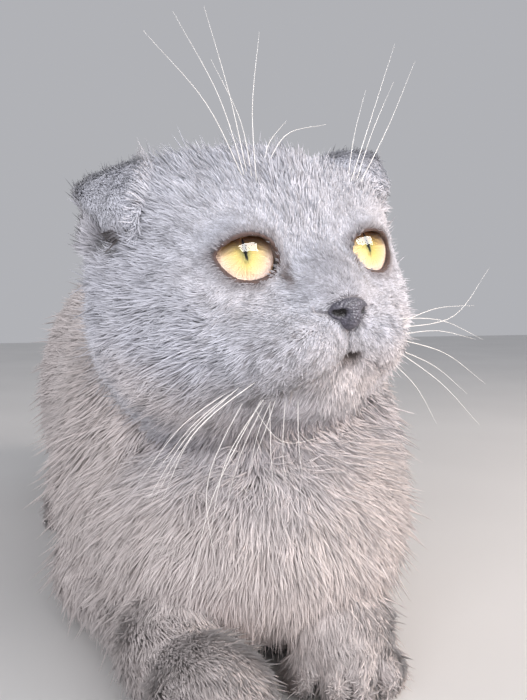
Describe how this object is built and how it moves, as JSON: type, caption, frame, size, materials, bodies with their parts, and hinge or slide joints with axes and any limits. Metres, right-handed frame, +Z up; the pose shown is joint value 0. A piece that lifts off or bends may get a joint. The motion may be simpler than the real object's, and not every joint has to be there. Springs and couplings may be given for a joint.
{
  "type": "scottish fold cat",
  "caption": "Still, life-size model of a young blue-grey scottish fold cat lying in a crouch, head up and turned to its left, ears folded forward.",
  "frame": {"origin": "on the floor, at the flat underside of the belly, midway between its sides", "axes": "+Y runs from the cat's head back to its rump, +X to the cat's own left, +Z up"},
  "size_m": [0.1696, 0.4198, 0.2047],
  "materials": {
    "coat": "short dense plush fur, blue-grey",
    "eye": "wet gloss, pale gold iris",
    "nose": "dark grey matt"
  },
  "bodies": {
    "root": {"head": "coat", "ear_left": "coat", "ear_right": "coat", "eye_left": "eye", "eye_right": "eye", "nose": "nose", "neck": "coat", "chest": "coat", "belly": "coat", "upper_arm_left": "coat", "upper_arm_right": "coat", "forearm_left": "coat", "forearm_right": "coat", "forepaw_left": "coat", "forepaw_right": "coat", "thigh_left": "coat", "thigh_right": "coat", "hind_foot_left": "coat", "hind_foot_right": "coat", "tail_root": "coat", "tail_middle": "coat", "tail_tip": "coat"}
  },
  "joints": []
}
